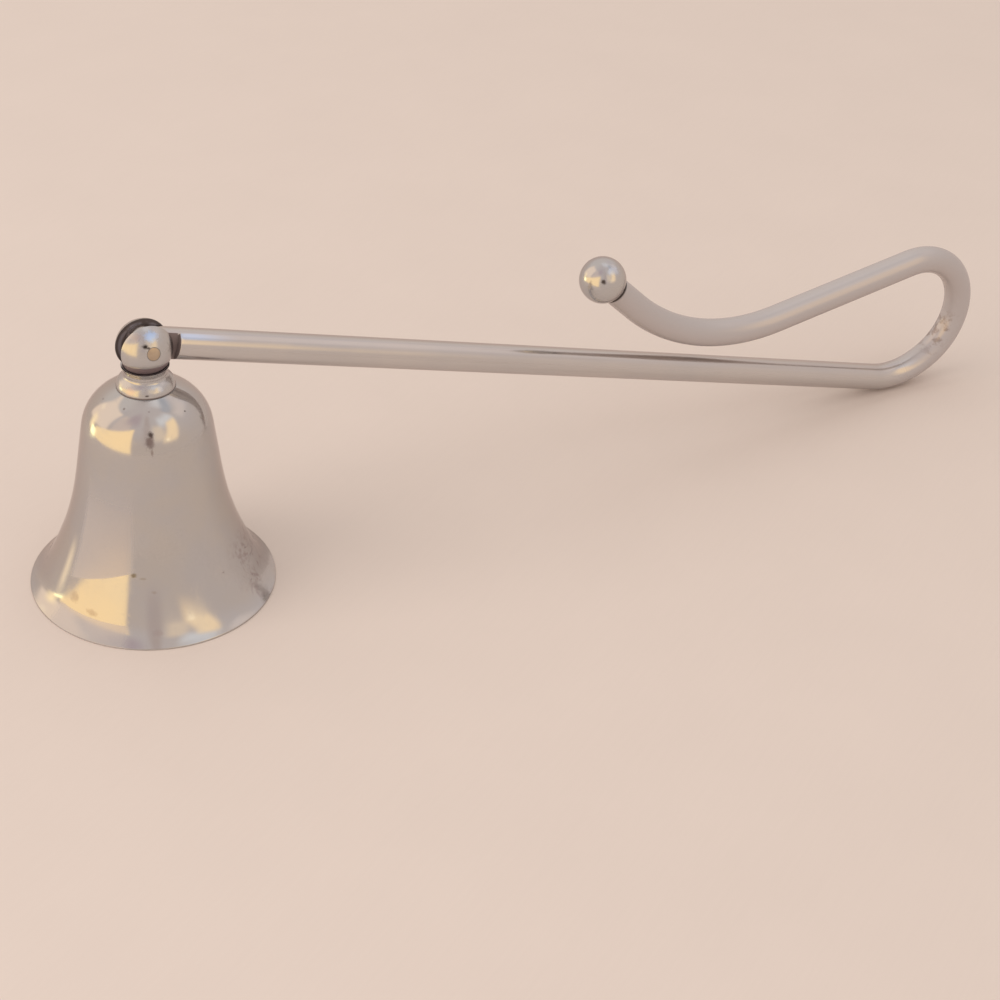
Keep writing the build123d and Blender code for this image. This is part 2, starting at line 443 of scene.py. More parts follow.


# A ragged spot, used both for stains and for painted highlights, reflections and shade: 1 where the distance
# from its middle, pushed in and out by a noise, is less than its reach.
# Both are in millimetres, and it is so many times taller than wide.
def stainAndPaintedLightLayer(middle, reach, tall, color, strength):
    s = stainAndPaintedLightLook
    ragged = s["ragged"] * reach * mm

    def layer(place):
        squeeze = (1.0, 1.0, 1 / tall)
        shift = [-value * scale * mm for value, scale in zip(middle, squeeze)]
        away = distanceFrom(mapped(place, Location=shift, Scale=squeeze), (0, 0, 0))
        push = calc("MULTIPLY_ADD", noise(place, s["raggedScale"], 4.0, 0.65), ragged, -ragged / 2)
        mask = smoothBand(calc("ADD", away, push), reach, s["core"] * reach, mm)
        return mask, dict(color=color, roughness=s["roughness"], strength=strength)

    return layer


# Stains and painted highlights, reflections and shade from rows of middle, reach, tallness, colour and
# strength.
def stainAndPaintedLightLayers(rows):
    return [stainAndPaintedLightLayer(*row) for row in rows]


# Bell

bellShape = dict(
    wall=0.9, holeRadius=1.6, crownRadius=5.3, crownSlope=28.0, crownRun=2.1, shoulderRadius=9.75,
    sideSlope=81.9, sideLength=10.65, swayRadius=65.8, flareSlope=62.3, flareRadius=8.8,
    rimSlope=32.0, blend=3.6, edgeBlur=0.22, wobble=0.012, segments=320,
)


# Blends the runs and arcs of an open outline into each other: each point becomes the weighted mean of its
# neighbours within a length. Beyond both ends the outline carries on as its own half turn, so the ends stay.
def blendRuns(points, length):
    step = np.hypot(*np.diff(points, axis=0).T).mean()
    reach = int(length / step / 2)
    weights = np.hanning(2 * reach + 3)[1:-1]
    before = 2 * points[0] - points[reach:0:-1]
    after = 2 * points[-1] - points[-2 : -reach - 2 : -1]
    padded = np.vstack([before, points, after])
    return np.stack([np.convolve(padded[:, k], weights / weights.sum(), "valid") for k in (0, 1)], 1)


# The bell's outline from the crown down to the rim, set in from the outside by a distance.
def bellOutline(inset, crownHeight):
    b = bellShape
    shift = inset * math.tan(math.radians(b["crownSlope"]) / 2)
    steps = [
        (b["crownRun"] + shift, 0),
        arcStep(b["shoulderRadius"] - inset, b["crownSlope"] - b["sideSlope"]),
        (b["sideLength"], 0),
        arcStep(b["swayRadius"] + inset, b["sideSlope"] - b["flareSlope"]),
        arcStep(b["flareRadius"] + inset, b["flareSlope"] - b["rimSlope"]),
    ]
    at = np.linspace(0, pathLength(steps), 1500)
    start = (b["crownRadius"] - shift, crownHeight - inset)
    points, _ = walkPath(start, -b["crownSlope"], steps, at)
    return blendRuns(points, b["blend"])


# Spun metal is never quite true: the radius dips by hundredths of a millimetre in slow waves, three and five
# to the turn and a few down the side, always inwards of the CAD outline.
def bellSwell(angle, height, radius):
    waves = np.sin(3 * angle + 0.21 * height) + 0.7 * np.sin(5 * angle - 0.33 * height + 1.0)
    waves = waves + 0.8 * np.sin(0.9 * height + 2 * angle)
    return bellShape["wobble"] * (waves / 2.5 - 1) * np.clip((radius - 6) / 4, 0, 1)


bellLook = dict(plateLook, plate=(0.57, 0.56, 0.545), roughness=0.09, hazeRoughness=0.1, hazeScale=95.0)
bellMarks = dict(
    tarnishAngles=(-50.0, -18.0),  # degrees round the bell from +X
    tarnishHeights=(1.0, 11.5),
    tarnish=dict(color=(0.31, 0.235, 0.245), roughness=0.32, strength=0.55),
    scratch=dict(color=(0.20, 0.15, 0.16), roughness=0.4, strength=0.5),
    rubbedAngles=(-76.0, -34.0),  # degrees from -Y
    rubbedHigh=12.3,  # the rubbed waist ends here in front and lower down at the sides
    rubbedFront=-35.0,  # degrees from -Y
    rubbedFall=0.105,  # millimetres lower for each degree
    rubbedFade=(32.0, 17.0),  # the rubbing starts up here and is full down there
    rubbedEdge=(-0.1, 0.35),  # how far below and above its line the waist's rubbing sets in
    rubbedLow=(3.45, 3.05),  # the rim's rubbing sets in between these heights
    waistStrength=0.95, rimStrength=0.7,
    rubbed=dict(color=(0.50, 0.44, 0.405), roughness=0.26, metal=0.35),
    # a painted highlight: a bright warm streak up the left of the flare
    highlightStreakAngles=(-175.0, -170.0), highlightStreakHeights=(4.5, 13.5),
    highlightStreak=dict(color=(1.0, 0.97, 0.80), roughness=0.15, strength=0.9),
    pitSize=0.045, pitShare=0.12, grimeRadii=(5.63, 5.35), grimeAbove=30.0,
)


# 1 on a part of the flare, by the angle round the bell and the height.
def flareRegion(place, angles, heights, soft):
    x, y, z = splitPlace(place)
    sideways = softBetween(calc("ARCTAN2", y, x), *angles, soft, degree)
    return product(sideways, softBetween(z, *heights, 3, mm))


# The tarnished part of the flare.
def tarnishRegion(place):
    return flareRegion(place, bellMarks["tarnishAngles"], bellMarks["tarnishHeights"], 12)


# Brown purple blotches: a coarse noise says where they are, and a fine one breaks them up.
def flareTarnish(place):
    blotch = smoothBand(noise(place, 230.0, 3.0, distortion=0.6), 0.47, 0.6)
    broken = smoothBand(noise(place, 950.0, 5.0, 0.65), 0.4, 0.6)
    return product(blotch, broken, tarnishRegion(place)), bellMarks["tarnish"]


# Dark scratches in the tarnish.
def flareScratches(place):
    where = tarnishRegion(place)
    lines = useGroup(wanderingScratches, Vector=place, Scale=125.0, Width=0.007, Where=where)
    return lines[0], bellMarks["scratch"]


# The waist has been rubbed dull down to a slanting line, and the rim below a level one. The polish between
# them, on the left of the flare, is still bright. Angles count from -Y, so they don't jump on this side.
def waistDullness(place):
    m = bellMarks
    x, y, z = splitPlace(place)
    angle = calc("ARCTAN2", x, calc("MULTIPLY", y, -1.0))
    level = m["rubbedHigh"] - m["rubbedFront"] * m["rubbedFall"]
    edge = calc("MULTIPLY_ADD", angle, m["rubbedFall"] * mm / degree, level * mm)
    above = smoothBand(calc("SUBTRACT", z, edge), *m["rubbedEdge"], mm)
    below = smoothBand(z, *m["rubbedLow"], mm)
    waist = product(above, smoothBand(z, *m["rubbedFade"], mm), m["waistStrength"])
    rubbed = calc("MAXIMUM", waist, product(below, m["rimStrength"]))
    return product(rubbed, softBetween(angle, *m["rubbedAngles"], 3, degree)), m["rubbed"]


# A narrow streak up the left of the flare is a painted highlight: a bright warm colour, brighter than any
# plate.
def paintedHighlightStreak(place):
    m = bellMarks
    return flareRegion(place, m["highlightStreakAngles"], m["highlightStreakHeights"], 2.5), m["highlightStreak"]


# Stains on the bell. The first three, on the front of the shoulder, paint in the camera's dark reflection
# mixed with tarnish; the rest are stains.
bellStainsAndCameraReflection = [
    ((-3.2, -10.25, 39.5), 0.8, 1.0, (0.06, 0.04, 0.04), 0.9),
    ((-3.6, -10.8, 38.2), 1.15, 1.6, (0.16, 0.11, 0.11), 0.72),
    ((-3.42, -11.5, 36.3), 0.3, 5.0, (0.24, 0.18, 0.16), 0.55),
    ((4.49, -7.91, 41.41), 0.26, 1.0, (0.06, 0.045, 0.04), 0.85),
    ((-8.08, 0.68, 42.18), 0.3, 0.7, (0.15, 0.10, 0.10), 0.6),
    ((-5.99, -4.62, 42.54), 0.32, 1.6, (0.13, 0.09, 0.085), 0.6),
    ((-2.2, -7.28, 42.51), 0.3, 0.7, (0.22, 0.16, 0.15), 0.5),
    ((-7.6, -15.3, 11.7), 1.0, 0.3, (0.36, 0.31, 0.23), 0.4),
    ((-6.2, -17.0, 9.2), 0.8, 0.5, (0.42, 0.36, 0.30), 0.4),
    ((-9.0, -14.3, 12.2), 0.75, 0.8, (0.20, 0.165, 0.095), 0.75),
    ((-18.39, -7.28, 5.3), 1.7, 0.8, (0.40, 0.33, 0.27), 0.4),
    ((-16.69, -11.73, 4.1), 1.6, 0.5, (0.36, 0.29, 0.24), 0.45),
    ((-6.9, -20.34, 2.3), 1.2, 0.7, (0.40, 0.32, 0.33), 0.3),
    ((8.0, -16.2, 9.1), 0.5, 0.4, (0.22, 0.17, 0.16), 0.6),
]


# Dirt in the joint round the collar's foot.
def bellGrime(place):
    radius = distanceFrom(mapped(place, Scale=(1, 1, 0)), (0, 0, 0))
    joint = smoothBand(radius, *bellMarks["grimeRadii"], mm)
    above = calc("GREATER_THAN", splitPlace(place)["Z"], bellMarks["grimeAbove"] * mm)
    return product(joint, above), grimeLook


# A closed ring, out along the crown and down the outside, across the rim and back up the inside, turned about
# the axis.
def buildBell():
    b = bellShape
    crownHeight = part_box("bell_shell")[1].z / mm
    outer = bellOutline(0, crownHeight)
    inner = bellOutline(b["wall"], crownHeight)
    inner = inner[inner[:, 1] > 0]
    start = (b["holeRadius"], crownHeight)
    end = (b["holeRadius"], crownHeight - b["wall"])
    foot = [(outer[-1, 0], 0.0), (inner[-1, 0] + 0.02, 0.0)]
    ring = np.vstack([[start], outer, foot, inner[::-1], [end]])
    profile = softOutline(ring, b["edgeBlur"], maxStep=0.9, maxTurn=3.0)
    grids = [(turned(profile, b["segments"], swell=bellSwell), True, True)]
    layers = [waistDullness, paintedHighlightStreak, flareTarnish, flareScratches]
    layers += [pitLayer(bellMarks["pitSize"], bellMarks["pitShare"]), bellGrime, *stainAndPaintedLightLayers(bellStainsAndCameraReflection)]
    material = plateMaterial("bellPlate", bellLook, layers)
    addPiece("bellShell", grids, material, "bell", "bell_shell")


# Ball and collar

pinHeight = frame["joints"][0]["pos_m"][2] / mm
ballShape = dict(
    radius=5.25, pinRise=1.1, pinRadius=1.25, footRadius=2.45, slotWidth=3.04, edgeRound=0.09,
    stemRadius=1.5, threadDepth=0.27, threadPitch=0.5,
    threadRows=12,  # to a pitch
    stemAround=72, around=220, capRows=26, wallRows=18, boreRows=12, floorRows=15,
)

collarShape = dict(
    footRadius=5.5, ringTop=(4.3, 2.2), ringBulge=2.6, neck=(4.1, 3.0), neckHollow=0.8,
    lip=(4.5, 4.4), lipHollow=2.5, seatHeight=3.4, cupRoom=0.15, boreRadius=1.6, edgeBlur=0.22,
    segments=160,
)
collarLook = dict(plateLook, roughness=0.2, hazeRoughness=0.06)
cupGrime = dict(color=(0.25, 0.20, 0.19), roughness=0.5, metal=0.6)
# Painted light on the collar: the camera's dark reflection in front, painted shade for the rod's dark
# reflection and shadow on the right, a bluish highlight, and a warm highlight on the left.
collarPaintedLight = [
    ((-1.75, -5.15, 44.5), 0.5, 0.5, (0.08, 0.06, 0.055), 0.85),
    ((4.9, -0.3, 45.4), 1.1, 0.9, (0.24, 0.19, 0.19), 0.7),
    ((1.1, -5.1, 45.2), 0.95, 0.9, (0.62, 0.70, 0.86), 0.6),
    ((-4.2, -3.2, 44.9), 1.3, 0.9, (0.68, 0.57, 0.55), 0.55),
]


# How far a place is from the middle of the ball, in metres.
def ballDistance(place):
    return distanceFrom(place, (0, 0, pinHeight - ballShape["pinRise"]))


# The same from the axis of the pin: the place is flattened along it first.
def pinDistance(place):
    return distanceFrom(mapped(place, Scale=(1, 0, 1)), (0, 0, pinHeight))


# Points on an arc of a given radius from one point to another. It bulges to the right of the way it goes, or
# to the left where the radius is negative.
def bulgeArc(first, second, radius, count=60):
    first, second = np.array(first, float), np.array(second, float)
    chord = second - first
    half = np.hypot(*chord) / 2
    across = np.sign(radius) * np.array([-chord[1], chord[0]]) / (2 * half)
    centre = (first + second) / 2 + across * math.sqrt(radius**2 - half**2)
    opening = math.asin(half / abs(radius))
    middle = math.atan2(-across[1], -across[0])
    angle = np.linspace(middle - opening, middle + opening, count)[:: int(np.sign(radius))]
    return centre + abs(radius) * np.stack([np.cos(angle), np.sin(angle)], 1)


# Dirt along the collar's foot, and in the hollow that the ball sits in.
def collarGrime(place):
    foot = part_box("collar")[0].z / mm
    low = smoothBand(splitPlace(place)["Z"], foot + 0.42, foot + 0.12, mm)
    reach = ballShape["radius"] + collarShape["cupRoom"]
    hollow = smoothBand(ballDistance(place), reach + 0.2, reach + 0.06, mm)
    return calc("MAXIMUM", low, hollow), cupGrime


# A rounded ring, a narrower neck and a lip that flares round the ball. Inside the lip a round hollow, a
# little wider than the ball, leads down to the seat.
def buildCollar():
    c = collarShape
    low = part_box("collar")[0].z / mm
    ring = bulgeArc((c["footRadius"], 0), c["ringTop"], c["ringBulge"])
    neck = bulgeArc(c["ringTop"], c["neck"], -c["neckHollow"])
    flare = bulgeArc(c["neck"], c["lip"], -c["lipHollow"])
    cup = ballShape["radius"] + c["cupRoom"]
    middle = pinHeight - ballShape["pinRise"] - low
    heights = np.linspace(c["lip"][1], c["seatHeight"], 20)
    hollow = np.stack([np.sqrt(cup**2 - (middle - heights) ** 2), heights], 1)
    inside = [(c["boreRadius"], c["seatHeight"]), (c["boreRadius"], 0)]
    outline = np.vstack([ring, neck, flare, hollow, inside])
    profile = softOutline(outline, c["edgeBlur"], maxStep=0.3, maxTurn=4.0)
    grids = [(turned(profile, c["segments"], origin=(0, 0, low)), True, True)]
    material = plateMaterial("collarPlate", collarLook, [*stainAndPaintedLightLayers(collarPaintedLight), collarGrime])
    addPiece("collarRing", grids, material, "bell", "collar")


# The ball is a sphere with an upright slot. All its patches are laid out on the same directions round the
# pin: the cap outside each cheek, the cheek's flat inside, the pin's bore, the zone of the sphere below the
# slot and the slot's floor. Directions that meet the floor first are the low ones, and they share their ends.
def ballPatches(ballHeight, floorRise):
    b = ballShape
    radius, rise, bore, half = b["radius"], b["pinRise"], b["pinRadius"], b["slotWidth"] / 2
    edge = math.sqrt(radius**2 - half**2)
    corner = math.sqrt(edge**2 - floorRise**2)
    cornerAngle = math.atan2(floorRise - rise, corner)
    lowCount = b["around"] // 4
    low = np.linspace(math.pi - cornerAngle, 2 * math.pi + cornerAngle, lowCount)
    high = np.linspace(cornerAngle, math.pi - cornerAngle, b["around"] - lowCount)
    isLow = np.r_[np.zeros(len(high), bool), np.ones(len(low), bool)]
    angle = np.r_[high, low]
    way = np.stack([np.cos(angle), np.sin(angle)], 1)
    # distance from the pin to the rim circle of the cheek, and to the slot's floor where that is nearer
    toRim = -rise * way[:, 1] + np.sqrt(edge**2 - (rise * way[:, 0]) ** 2)
    toFloor = np.where(isLow, (floorRise - rise) / np.where(isLow, way[:, 1], -1), toRim)
    reach = bore + (toRim - bore) * np.sin(np.linspace(0, 1, b["capRows"]) * math.pi / 2)[:, None]
    x, z = reach * way[:, 0], rise + reach * way[:, 1]
    y = np.sqrt(radius**2 - x**2 - z**2)
    wallReach = bore + (toFloor - bore) * np.linspace(0, 1, b["wallRows"])[:, None]
    wallX, wallZ = wallReach * way[:, 0], rise + wallReach * way[:, 1]
    boreY = half + (y[0] - half) * np.linspace(0, 1, b["boreRows"])[:, None]
    patches = []
    for side in (-1, 1):
        patches += [gridOf(x, side * y, z), gridOf(wallX, side * half, wallZ)]
        patches.append(gridOf(x[0], side * boreY, z[0]))
    # below the floor: the rim circle's low points are carried across, as shares of the arc below the floor
    lowX, lowZ = x[-1][isLow], z[-1][isLow]
    lean = np.arctan2(lowX, -lowZ)
    acrossY = np.linspace(-half, half, b["floorRows"])[:, None]
    circle = np.sqrt(radius**2 - acrossY**2)
    widest = np.arccos(-floorRise / circle)
    lean = lean / abs(lean[0]) * widest
    patches.append(gridOf(circle * np.sin(lean), acrossY, -circle * np.cos(lean)))
    floorX = wallX[-1][isLow] / corner * np.sqrt(circle**2 - floorRise**2)
    patches.append(gridOf(floorX, acrossY, floorRise))
    # the foot is cut flat where the ball sits in the collar
    seat = -math.sqrt(radius**2 - b["footRadius"] ** 2)
    for points in patches:
        points[..., 2] = np.maximum(points[..., 2], seat) + ballHeight
    return [(points, False, False) for points in patches]


# The stem below the ball, with a thread whose ridge climbs one pitch a turn.
def stemGrid(bottom, top):
    b = ballShape
    height = np.arange(bottom, top, b["threadPitch"] / b["threadRows"])[:, None]
    angle = roundAngles(b["stemAround"])
    phase = (height / b["threadPitch"] - angle / (2 * np.pi)) % 1
    ridge = np.clip(np.abs(2 * phase - 1) * 1.25, 0.1, 1)
    lead = np.clip((height - bottom) / 0.3, 0, 1) * 0.25 + 0.75
    radius = (b["stemRadius"] - b["threadDepth"] * (1 - ridge)) * lead
    ends = np.r_[bottom, height[:, 0], height[-1, 0]][:, None]
    radius = np.concatenate([0 * angle, radius, 0 * angle])
    return gridOf(radius * np.cos(angle), radius * np.sin(angle), ends)


ballLook = dict(plateLook, roughness=0.235, hazeRoughness=0.025, hairlineRoughness=0.01)
ballMarks = dict(
    footHeight=50.12,
    foot=dict(color=(0.20, 0.15, 0.155), roughness=0.5, metal=0.35),
    brushed=dict(color=(0.54, 0.53, 0.51), roughness=0.268, strength=0.55),
    slotWall=dict(color=(0.125, 0.097, 0.09), roughness=0.5, metal=0.25),
    slotBand=dict(color=(0.33, 0.29, 0.315), roughness=0.45, metal=0.3, strength=0.85),
)
# Painted reflections on the ball: the first two paint the camera's dark reflection, the third a bluish
# highlight and the fourth a warm highlight.
ballPaintedReflections = [
    ((-1.35, -4.29, 54.38), 0.75, 0.75, (0.02, 0.014, 0.012), 0.95),
    ((-0.78, -4.6, 54.1), 0.4, 0.7, (0.05, 0.035, 0.03), 0.8),
    ((0.1, -3.45, 55.75), 1.8, 0.7, (0.52, 0.69, 1.0), 0.85),
    ((-2.4, -2.6, 55.7), 1.3, 0.8, (0.62, 0.53, 0.47), 0.5),
]


# A paler worn band on the inner walls of the cheeks, a little inside their edge.
def slotBand(place):
    radius = ballShape["radius"]
    band = softBetween(ballDistance(place), radius - 1.15, radius - 0.55, 0.2, mm)
    return product(band, smoothBand(noise(place, 420.0, 3.0), 0.35, 0.55)), ballMarks["slotBand"]


# The foot of the ball, just above the collar's lip, is darker, duller and less metallic.
def ballFoot(place):
    level = calc("MULTIPLY_ADD", noise(place, 500.0, 3.0), -0.25 * mm, ballMarks["footHeight"] * mm)
    below = calc("SUBTRACT", level, splitPlace(place)["Z"])
    return smoothBand(below, -0.05, 0.1, mm), ballMarks["foot"]


# Fine upright brushing left by the last polish.
def ballBrushing(place):
    lines = noise(mapped(place, Scale=(1.0, 1.0, 0.05)), 2600.0, 3.0, 0.6)
    return smoothBand(lines, 0.45, 0.7), ballMarks["brushed"]


# The ball's patches and its stem, with the edges of the slot and of the bore rounded by a bevel. A thin dark
# ring lies in the joint round each end of the pin. The walls of the slot never took a polish: everything well
# inside the ball's surface is dark.
def buildBall():
    b = ballShape
    ballHeight = pinHeight - b["pinRise"]
    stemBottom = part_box("hinge_ball")[0].z / mm
    grids = ballPatches(ballHeight, slotFloor() - ballHeight)
    seatHeight = ballHeight - math.sqrt(b["radius"] ** 2 - b["footRadius"] ** 2)
    grids.append((stemGrid(stemBottom, seatHeight + 0.4), False, True))
    layers = [ballBrushing, *stainAndPaintedLightLayers(ballPaintedReflections), ballFoot]
    layers.append(bandLayer(pinDistance, b["pinRadius"] + 0.1, b["pinRadius"], pinGrime))
    layers.append(bandLayer(ballDistance, b["radius"] - 0.02, b["radius"] - 0.1, ballMarks["slotWall"]))
    layers.append(slotBand)
    material = plateMaterial("ballPlate", ballLook, layers)
    piece = addPiece("hingeBall", grids, material, "bell", "hinge_ball")
    bevel = piece.modifiers.new("edgeRound", "BEVEL")
    bevel.width = b["edgeRound"] * mm
    bevel.segments = 2
    bevel.limit_method = "ANGLE"
    bevel.angle_limit = 40 * degree
    bevel.harden_normals = True


# Pivot pin

pinShape = dict(radius=1.25, edgeRound=0.1, around=96)
brassLook = dict(
    plateLook,
    plate=(0.55, 0.455, 0.35), tint=(0.49, 0.395, 0.295), tintScale=500.0, roughness=0.34,
    hazeRoughness=0.12, hazeScale=700.0, hairlineScale=3500.0, hairlineDepth=0.1, peelScale=900.0,
    peelDepth=0.0012, film=0.35, filmScale=1100.0, filmColor=(0.36, 0.25, 0.17),
)


# The pin's ends are dressed to the ball's own curve. Rows run from the middle of one end, over its rounded
# edge and along the pin to the middle of the other end. The rim is dark where the edge is rounded off.
def buildPin():
    p = pinShape
    ballRadius, rise = ballShape["radius"], ballShape["pinRise"]
    out = np.linspace(0, 1, 10)
    turn = np.linspace(0, math.pi / 2, 6)[1:]
    endRadius = np.r_[out * (p["radius"] - p["edgeRound"]), p["radius"] - p["edgeRound"] * (1 - np.sin(turn))]
    sink = np.r_[0 * out, p["edgeRound"] * (1 - np.cos(turn))]
    angle = roundAngles(p["around"])
    x = endRadius[:, None] * np.cos(angle)
    z = endRadius[:, None] * np.sin(angle)
    y = np.sqrt(ballRadius**2 - x**2 - (z + rise) ** 2) - sink[:, None]
    ends = np.concatenate([gridOf(x, -y, z + pinHeight), gridOf(x, y, z + pinHeight)[::-1]])
    rim = bandLayer(pinDistance, p["radius"] - 0.12, p["radius"] - 0.01, pinGrime)
    material = plateMaterial("pinBrass", brassLook, [rim])
    addPiece("pivotPin", [(ends, False, True)], material, "bell", "pivot_pin")


# Handle

rodShape = dict(
    radius=3.0, shankLength=182.7, heelRadius=18.5, heelTurn=51.9, noseRadius=14.35, noseTurn=153.9,
    backLength=36.3, tailRadius=44.0, tailTurn=53.0, tipLength=8.0, tipRound=0.35, shoulderAt=6.0,
    shoulderRound=0.18, spigotRadius=1.6, spigotLength=4.0, tongueThickness=2.8, holeClearance=0.05,
    spareDroop=3.0, wobble=0.01, around=96, bodyStep=0.8, tongueAround=200, edgeRows=9, flatRows=12,
)
rodSteps = [
    (rodShape["shankLength"], 0),
    arcStep(rodShape["heelRadius"], rodShape["heelTurn"]),
    arcStep(rodShape["noseRadius"], rodShape["noseTurn"]),
    (rodShape["backLength"], 0),
    arcStep(rodShape["tailRadius"], -rodShape["tailTurn"]),
    (rodShape["tipLength"], 0),
]


# The handle droops until the underside of its heel meets the table.
def droopAngle():
    r = rodShape
    drop = pinHeight - r["radius"] - r["heelRadius"]
    lean = math.atan(r["heelRadius"] / r["shankLength"])
    return lean + math.asin(drop / math.hypot(r["shankLength"], r["heelRadius"]))


droop = droopAngle()


# The slot's floor lies where the rod's tongue would strike it a few degrees below its place on the table.
def slotFloor():
    lowest = droop + math.radians(rodShape["spareDroop"])
    radius, rise = ballShape["radius"], ballShape["pinRise"]
    reach = (rodShape["radius"] - rise * math.cos(lowest)) / radius
    return pinHeight - rise - radius * math.sin(lowest + math.asin(reach))


# The tongue's surface closes round the pin's hole. Each direction from the pin has one loop: through the
# hole, out over one side, across the edge and back over the other side. The edge is the nearest of the rod's
# own round surface, a half round about the pin at the back, and a flat hidden inside the rod at the front.
def tongueGrid():
    r = rodShape
    half, radius = r["tongueThickness"] / 2, r["radius"]
    hole = ballShape["pinRadius"] + r["holeClearance"]
    angle = roundAngles(r["tongueAround"])
    across = np.linspace(-half, half, r["edgeRows"])[:, None]
    sine = np.maximum(np.abs(np.sin(angle)), 1e-6)
    cosine = np.maximum(np.cos(angle), 1e-6)
    edge = np.minimum(np.sqrt(radius**2 - across**2) / sine, (r["shoulderAt"] + 1) / cosine)
    edge = np.where(np.cos(angle) < 0, np.minimum(edge, radius), edge)
    out = np.linspace(0, 1, r["flatRows"])[:, None]
    low = hole + (edge[:1] - hole) * out
    high = hole + (edge[-1:] - hole) * out[::-1]
    inside = across[-2:0:-1]
    reach = np.concatenate([low, edge[1:-1], high, hole + 0 * inside + 0 * angle])
    y = np.concatenate([0 * out - half, across[1:-1], 0 * out + half, inside])
    return onHandle(reach * np.cos(angle), y, reach * np.sin(angle))


# From the handle's own plane, x along the shank and z square to it from the pin, to the frame.
def onHandle(x, y, z):
    c, s = math.cos(droop), math.sin(droop)
    return gridOf(x * c + z * s, y, pinHeight - x * s + z * c)


# The rod: a radius that changes only at its ends is carried along the centreline. A slow wave of a hundredth
# of a millimetre along the rod keeps its reflections from being dead straight.
def rodGrid():
    r = rodShape
    length = pathLength(rodSteps)
    quarter = np.linspace(0, math.pi / 2, 7)
    startAt = r["shoulderAt"] + r["shoulderRound"] * (1 - np.cos(quarter))
    startRadius = r["radius"] - r["shoulderRound"] * (1 - np.sin(quarter))
    endAt = length - r["tipRound"] * (1 - np.sin(quarter))
    endRadius = r["radius"] - r["tipRound"] * (1 - np.cos(quarter))
    body = np.arange(startAt[-1] + 0.6, endAt[0] - 0.3, r["bodyStep"])
    inner = [length, length + r["spigotLength"], length + r["spigotLength"]]
    at = np.r_[startAt[0], startAt[0], startAt, body, endAt, inner]
    radius = np.r_[0, r["tongueThickness"] / 2, startRadius, np.full(len(body), r["radius"]), endRadius]
    radius = np.r_[radius, r["spigotRadius"], r["spigotRadius"], 0]
    points, heading = walkPath((0, 0), 0, rodSteps, at)
    angle = roundAngles(r["around"])
    bodyOnly = (radius == r["radius"])[:, None]
    wave = np.sin(at[:, None] * 0.31 + 2 * angle) + np.sin(at[:, None] * 0.17 - angle + 0.6) - 2
    thick = radius[:, None] + bodyOnly * r["wobble"] / 4 * wave
    sideways = thick * np.cos(angle)
    x = points[:, :1] - sideways * np.sin(heading)[:, None]
    z = points[:, 1:] + sideways * np.cos(heading)[:, None]
    y = thick * np.sin(angle)
    return onHandle(x, y, z), gridOf(at[:, None], y, sideways) * mm


rodLook = dict(
    plateLook,
    plate=(0.63, 0.61, 0.60), tint=(0.60, 0.59, 0.59), tintScale=45.0, roughness=0.165,
    hazeRoughness=0.05, hazeScale=60.0, hairlineRoughness=0.02, hairlineDepth=0.0, peelScale=150.0,
)
rodMarks = dict(
    drawn=dict(color=(0.585, 0.565, 0.555), roughness=0.22, strength=0.6),
    rustAlong=(199.0, 211.0),  # millimetres along the rod from the pin
    rust=dict(color=(0.29, 0.22, 0.19), roughness=0.27, strength=0.7),
    rubbedAlong=(184.0, 200.0),  # it sets in between these
    rubbed=dict(color=(0.53, 0.475, 0.455), roughness=0.26, metal=0.35),
    # a painted bluish highlight on the rod near the hinge
    blueAlong=(3.0, 13.0),
    blueTurn=38.0,  # degrees round the rod from its top to the front
    blueHighlight=dict(color=(0.60, 0.74, 0.98), roughness=0.12, strength=0.9),
    pitSize=0.035, pitShare=0.06,
)


# Places on the handle are given unbent: x along the rod from the pin, z towards the inside of its bends.

# The flats of the tongue and the step behind them were never plated. The tongue's edge was.
def tonguePatina(place):
    x, y, _ = splitPlace(place)
    step = rodShape["shoulderAt"]
    along = smoothBand(x, step + 0.06, step + 0.01, mm)
    return product(along, smoothBand(calc("ABSOLUTE", y), 1.25, 1.38, mm)), patinaLook


# Lines left by drawing the rod run along it, so the noise is stretched that way.
def drawnLines(place):
    lines = noise(mapped(place, Scale=(0.012, 1.0, 1.0)), 1900.0, 3.0, 0.6)
    return smoothBand(lines, 0.48, 0.7), rodMarks["drawn"]


# Dull brown specks on the inside of the last bend.
def bendRust(place):
    x, _, z = splitPlace(place)
    where = product(softBetween(x, *rodMarks["rustAlong"], 2.5, mm), smoothBand(z, 0.4, 2.2, mm))
    specks = smoothBand(noise(place, 480.0, 5.0, 0.6), 0.48, 0.62)
    return product(where, specks), rodMarks["rust"]


# How far along the rod a place is.
def alongRod(place):
    return splitPlace(place)["X"]


# A painted bluish highlight along the upper front of the rod, near the hinge, standing for a window's
# reflection: 1 where the surface faces one way round it.
def paintedBlueHighlight(place):
    x, y, z = splitPlace(place)
    turn = rodMarks["blueTurn"] * degree
    radius = rodShape["radius"] * mm
    facing = calc("MULTIPLY_ADD", y, -math.sin(turn) / radius, product(z, math.cos(turn) / radius))
    along = softBetween(x, *rodMarks["blueAlong"], 6, mm)
    return product(along, smoothBand(facing, 0.96, 0.998)), rodMarks["blueHighlight"]


